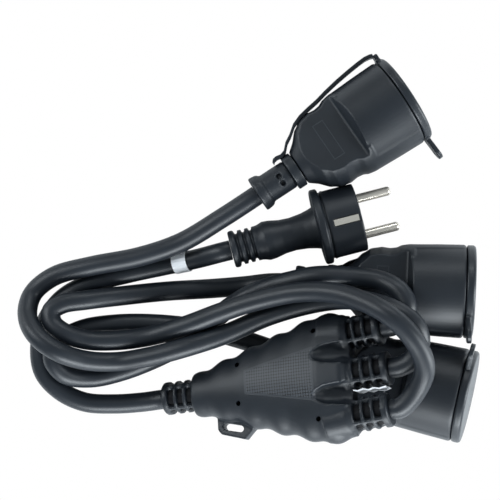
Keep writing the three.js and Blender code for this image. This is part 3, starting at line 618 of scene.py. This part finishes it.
def socket_cap(letter):
    """A socket's cap: a lipped disc with its lift tab and the link to its hinge."""
    disc = drawn("disc", [
        (87.4, 16.6), (82.7, 16.6), (82.7, 18.2), (83.4, 18.6), (CAP_REAR, 18.6), (CAP_REAR, 23.7),
        (86.2, 24.15), (89, 24.2), (89.7, 23.9), (90.2, 23.4), (CAP_FRONT, 22.6),
    ])
    span = (CAP_REAR + 0.1, CAP_REAR + TAB_THICK)
    tab = brick("tab", (span[0], -TAB_END, -TAB_HALF), (span[1], -21, TAB_HALF), 0.5)
    end = drawn("end", [(span[0], TAB_HALF), (span[1], TAB_HALF)], 32)
    shifted(end, Matrix.Translation((0, -TAB_END * MM, 0)))
    pivot = Matrix.Translation((CAP_REAR * MM, -24 * MM, 0))
    lean = pivot @ Matrix.Rotation(math.radians(TAB_LEAN), 4, "Z") @ pivot.inverted()
    half = STRAP_WIDE / 2
    link = brick("link", (HINGE[0] - 1.1, 21, -half), (HINGE[0] + 1.1, HINGE[1] + 1, half), 0.4)
    piece = joined([disc, shifted(tab, lean), shifted(end, lean), link])
    softened(piece, CAP_VOXEL)
    piece.name = f"socket_{letter}_lid"
    settle(piece, place_matrix(f"socket_{letter}", STRAP_TURN[letter]))
    finished(piece, f"cap_{letter}", "cap_rubber", FINISHES["cap_rubber"], f"socket_{letter}_cap")


# Plug
def plug_body():
    profile = [(-1.6, 9.2), (-0.7, 9.8), (1, 9.8), (1.7, 9.1)]
    for i in range(3):
        at = 2 + RIB_PITCH * i
        profile += [(at, 7.4), (at + 1.4, 7.4), (at + 1.6, 9.1), (at + 3.6, 9.1)]
    profile += [
        (14.9, 9.5), (17, 10.3), (20.4, 10.1), (25.9, 9), (31.4, 8.7), (37.8, 9.4), (42.3, 10.5),
        (44.8, 11.4), (44.8, 19.2), (45.5, 20), (48.3, 20), (49, 19.2), (49, 17.5), (50.2, 17.5),
        (50.4, 18.2), (67.1, 18.2), (PLUG_FACE, 17.7), (PLUG_FACE, 14.5), (64, 14.5),
    ]
    piece = drawn("plug", profile)
    for side in (1, -1):
        groove = brick("groove", (52.7, -1.9, 16.9), (69, 1.9, 20))
        notch = brick("notch", (51.5, 16.5, -2.8), (69, 20, 2.8))
        turn = Matrix.Rotation(0 if side > 0 else math.pi, 4, "X")
        combined(piece, shifted(groove, turn), "DIFFERENCE")
        combined(piece, shifted(notch, turn), "DIFFERENCE")
        hole = drawn("hole", [(52, 2.7), (66, 2.7)], 24)
        combined(piece, shifted(hole, Matrix.Translation((0, side * PIN_SIDE * MM, 0))), "DIFFERENCE")
    softened(piece, PLUG_VOXEL)
    piece.name = "plug_moulding"
    settle(piece, place_matrix("plug"))
    finished(piece, "splitter", "rubber", FINISHES["rubber"], "plug_body")
    return piece


def plug_pin(number, side):
    pin = drawn(f"plug_pin_{number}_turned", [
        (52.1, 2.4), (84.9, 2.4), (85.7, 2.2), (86.2, 1.7), (86.5, 1.0), (86.58, 0.3),
    ], 40)
    smooth_by_angle(pin, 40)
    shift = Matrix.Translation((0, side * PIN_SIDE * MM, 0))
    settle(pin, place_matrix("plug") @ shift)
    finished(pin, "splitter", "nickel", FINISHES["nickel"], f"plug_pin_{number}")
    return pin


# Hub
def hub_half(x):
    """Half the hub's width at a station, with the ripple of its scalloped sides."""
    rise = min((x - HUB_FROM) / (HUB_WIDE_AT - HUB_FROM), 1)
    fall = max((x - HUB_WIDE_AT) / (HUB_TO - HUB_WIDE_AT), 0)
    ripple = SCALLOP_DEPTH * math.sin(2 * math.pi * (x - SCALLOP_FROM) / SCALLOP_PITCH)
    at_inlet, gain, loss = HUB_HALF
    return at_inlet + gain * rise - loss * fall + ripple


def hub_tall(x):
    """Half the hub's thickness at a station, rounded off at its outlet end."""
    fall = max((x - HUB_WIDE_AT) / (HUB_TO - HUB_WIDE_AT), 0)
    swell = math.sin(math.pi / 2 * min((x - HUB_FROM) / HUB_SWELL, 1))
    end_round = math.sqrt(max(1 - max((x - HUB_TO + 4) / 5, 0) ** 2, 0.09))
    at_inlet, gain, loss = HUB_TALL
    return (at_inlet + gain * swell - loss * fall) * end_round


def hub_core():
    nothing_selected()
    station = HUB_FROM
    bpy.ops.mesh.primitive_circle_add(
        vertices=ROUND, radius=MM, fill_type="NGON", location=(station * MM, 0, 0),
        rotation=(0, math.pi / 2, 0),
    )
    piece = bpy.context.active_object
    bpy.ops.object.transform_apply(location=True, rotation=True, scale=True)
    bpy.ops.object.mode_set(mode="EDIT")
    bpy.ops.mesh.select_all(action="SELECT")
    half, tall = 1.0, 1.0
    for i in range(HUB_STEPS + 1):
        x = HUB_FROM + (HUB_TO - HUB_FROM) * i / HUB_STEPS
        if i:
            move = {"value": ((x - station) * MM, 0, 0)}
            bpy.ops.mesh.extrude_region_move(TRANSFORM_OT_translate=move)
        new_half, new_tall = hub_half(x), hub_tall(x)
        scale = (1, new_half / half, new_tall / tall)
        bpy.ops.transform.resize(value=scale, center_override=(x * MM, 0, 0))
        station, half, tall = x, new_half, new_tall
    bpy.ops.mesh.select_all(action="SELECT")
    bpy.ops.mesh.normals_make_consistent(inside=False)
    bpy.ops.object.mode_set(mode="OBJECT")
    return piece


def cable_grip(length):
    """A windowed grip along -X from its end at the origin."""
    profile = [(-length, GRIP_RADIUS)]
    for i in range(3):
        at = -17.8 + GRIP_PITCH * i
        to = at + GRIP_SLOT
        profile += [(at, GRIP_RADIUS), (at, GRIP_CORE), (to, GRIP_CORE), (to, GRIP_RADIUS)]
    profile += [(-0.6, GRIP_RADIUS), (0, GRIP_RADIUS - 0.6)]
    pieces = [drawn("grip", profile)]
    for y, z in ((0.9, GRIP_RADIUS - 0.1), (GRIP_RADIUS - 0.1, 0.9)):
        ridge = brick("ridge", (-length, -y, -z), (-1.7, y, z), 0.3)
        pieces.append(shifted(ridge, Matrix.Rotation(math.radians(RIDGE_TURN), 4, "X")))
    return joined(pieces)


def hub_body():
    core = hub_core()
    for y in VALLEY_SIDES:
        for side in (1, -1):
            cone = drawn("valley", [(0, 0.5), (2, 2.6), (7, 4.6), (26, 6.4)], 32)
            turn = Matrix.Rotation(side * math.radians(14), 4, "Y")
            shift = Matrix.Translation((86 * MM, y * MM, side * 15 * MM))
            combined(core, shifted(cone, shift @ turn), "DIFFERENCE")
    inward = Matrix.Rotation(math.pi, 4, "Z")
    inlet = shifted(cable_grip(18.4), inward)
    pieces = [core, inlet]
    # Near-black linings inside the grips' windows: painted shade where the cord lies in shadow.
    shade_linings = [shifted(drawn("shade_lining", [(-18.2, SHADE_LINING_RADIUS), (-2, SHADE_LINING_RADIUS)]), inward)]
    for side, turn, end in OUTLETS:
        length = end - OUTLET_ROOT
        shoulder = drawn("shoulder", [(-length - 14, 11), (-length - 2, 10.4), (-length + 1, 8.8)])
        outlet = joined([cable_grip(length + 3), shoulder])
        move = Matrix.Translation((OUTLET_ROOT * MM, side * MM, 0))
        along = move @ Matrix.Rotation(math.radians(turn), 4, "Z") @ Matrix.Translation((length * MM, 0, 0))
        pieces.append(shifted(outlet, along))
        shade_linings.append(shifted(drawn("shade_lining", [(-length - 2, SHADE_LINING_RADIUS), (-2, SHADE_LINING_RADIUS)]), along))
    shade_lining = joined(shade_linings)
    shade_lining.name = "hub_grip_shade_linings"
    smooth_by_angle(shade_lining)
    settle(shade_lining, place_matrix("hub"))
    finished(shade_lining, "splitter", "plastic", FINISHES["plastic"])
    ear = prism("ear", [(29.5, -8), (29.5, -20), (31.5, -22.5), (44.5, -26.3), (51.5, -19.8), (50, -10)], 2.6)
    slot = prism("slot", [
        (34, -20.4), (33, -19.6), (32.6, -18.4), (33.2, -17.2), (34.4, -16.8), (42.2, -18.8), (43.6, -19.4),
        (44.1, -20.6), (43.6, -21.8), (42.4, -22.4),
    ], 8)
    combined(ear, slot, "DIFFERENCE")
    pieces.append(ear)
    piece = joined(pieces)
    softened(piece, HUB_VOXEL)
    for x, half in PIN_HOLES:
        for side in (1, -1):
            hole = drawn("hole", [(-16, PIN_HOLE), (16, PIN_HOLE)], 24)
            place = Matrix.Translation((x * MM, (1.2 + side * half) * MM, 0))
            combined(piece, shifted(hole, place @ Matrix.Rotation(math.pi / 2, 4, "Y")), "DIFFERENCE")
    smooth_by_angle(piece, 50)
    piece.name = "hub_moulding"
    settle(piece, place_matrix("hub"))
    finished(piece, "splitter", "rubber", HUB_FINISH, "hub_body")


def flag_label():
    """The blank film standing in the valley beside the middle outlet, creased along its length."""
    front = [
        (106, -8.7), (108.5, -9.3), (111, -8.5), (114, -9.4), (116.5, -8.6), (119.5, -9.3), (123, -8.6),
    ]
    back = [(x, y + 0.55) for x, y in reversed(front)]
    film = prism("flag_film", front + back, 4.6)
    smooth_by_angle(film, 50)
    settle(film, place_matrix("hub") @ Matrix.Translation((0, 0, 1.8 * MM)))
    finished(film, "splitter", "paper", FINISHES["paper"], "flag_label")


# Everything is made, cords first
cords = {name: cord_piece(name, points) for name, points in ROUTES.items()}
for name, node in nodes.items():
    slot_name = next(s["material_slot"] for s in frame["record"]["subparts"] if s["node"] == name)
    node.data.materials.clear()
    node.data.materials.append(FINISHES[slot_name].material)
for socket_letter in "abc":
    socket_body(socket_letter)
    strap_piece(socket_letter)
    socket_cap(socket_letter)
on_plug_cord = [plug_body(), plug_pin(1, 1), plug_pin(2, -1)]
on_plug_cord += [nodes[name] for name in ("plug_bridge", "plug_earth_strip", "plug_label")]
hub_body()
flag_label()

for name, (piece, start, length) in cords.items():
    to_plug = name == "plug_cord"


# Surface, surroundings and light
WORLD_COLOUR = (0.84, 0.93, 1, 1)
WORLD_STRENGTH = 0.32
LAMP_COLOUR = (0.9, 0.96, 1)


def floor_finish():
    finish = Finish("surface_white")
    diffuse = finish.node("ShaderNodeBsdfDiffuse", {}, {"Color": (0.9, 0.9, 0.9, 1)})
    glow = finish.node("ShaderNodeEmission", {}, {"Color": (1, 1, 1, 1), "Strength": 1.0})
    camera_ray = finish.node("ShaderNodeLightPath").outputs["Is Camera Ray"]
    mixed = finish.node("ShaderNodeMixShader", {}, {0: camera_ray, 1: diffuse.outputs[0], 2: glow.outputs[0]})
    finish.feed(finish.output.inputs["Surface"], mixed.outputs[0])
    return finish


nothing_selected()
bpy.ops.mesh.primitive_plane_add(size=6, location=(0, 0, 0))
floor = bpy.context.active_object
floor.name = "surface"
floor.data.materials.append(floor_finish().material)

world = bpy.data.worlds.new("surroundings")
world.use_nodes = True
background = world.node_tree.nodes["Background"]
background.inputs["Color"].default_value = WORLD_COLOUR
background.inputs["Strength"].default_value = WORLD_STRENGTH
bpy.context.scene.world = world


def lamp(name, place, size, power):
    data = bpy.data.lights.new(name, "AREA")
    data.shape = "RECTANGLE"
    data.size, data.size_y = size
    data.energy = power
    data.color = LAMP_COLOUR
    light = bpy.data.objects.new(name, data)
    light.location = place
    light.rotation_euler = (-Vector(place)).to_track_quat("-Z", "Y").to_euler()
    bpy.context.scene.collection.objects.link(light)


lamp("lamp_front", (0.1, -1.0, 0.45), (1.0, 0.4), 23)
lamp("lamp_right", (1.0, -0.2, 0.4), (0.4, 0.8), 15)
lamp("lamp_left", (-0.9, 0.4, 0.6), (0.4, 0.8), 7)
lamp("lamp_back", (0.1, 1.0, 0.6), (0.8, 0.3), 4)

bpy.context.scene.view_settings.view_transform = "Standard"
